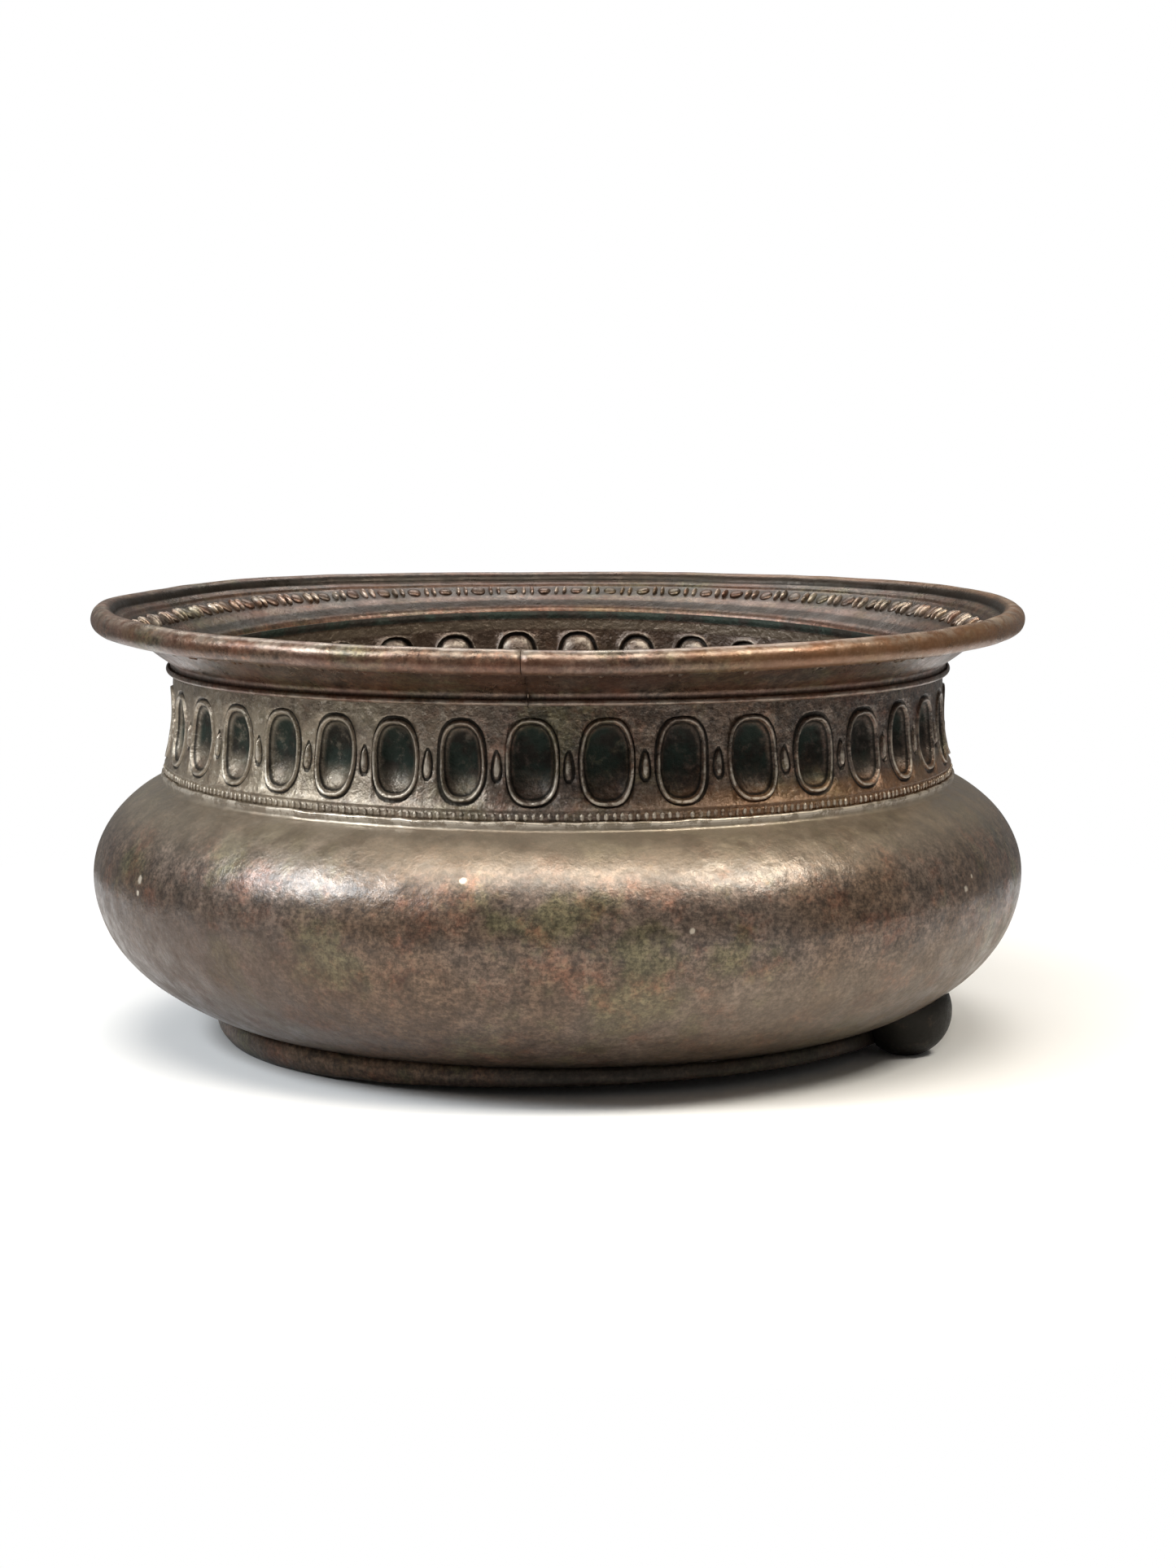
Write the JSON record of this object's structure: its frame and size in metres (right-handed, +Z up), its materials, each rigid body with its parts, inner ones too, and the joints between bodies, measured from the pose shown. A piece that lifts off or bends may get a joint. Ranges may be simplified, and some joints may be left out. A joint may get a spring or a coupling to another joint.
{
  "type": "planter pot",
  "caption": "Round squat planter pot of dark patinated sheet metal: bulging bowl, embossed neck with standing ovals, wide flared rim rolled over a wire, worn foot ring.",
  "frame": {"origin": "on the floor, on the pot's axis, under the middle of its overall box", "axes": "+Z up along the pot's axis; -Y is the front, the side with the rim's joint; +X is right as seen from the front, the side with the levelling foot"},
  "size_m": [0.3809, 0.381, 0.1761],
  "materials": {
    "bowl_sheet": "old dark brown patina with olive, red and grey patches, satin where it is rubbed",
    "neck_sheet": "dark brown patina, nearly black in the hollows, rubbed bright on the raised edges",
    "rim_sheet": "reddish brown patina, rubbed satin on the rolled edge",
    "foot_sheet": "very dark brown, dirty along the floor",
    "lug_casting": "blackened, matt, with a rubbed edge",
    "rim_core": "plain iron wire, hidden inside the rolled edge",
    "solder": "dull grey soft solder, left as it ran"
  },
  "bodies": {
    "root": {"body_bowl": "bowl_sheet", "neck_band": "neck_sheet", "rim_flare": "rim_sheet", "rim_wire": "rim_core", "foot_ring": "foot_sheet", "levelling_foot": "lug_casting", "foot_solder": "solder", "neck_solder": "solder", "rim_joint_solder": "solder"}
  },
  "joints": []
}
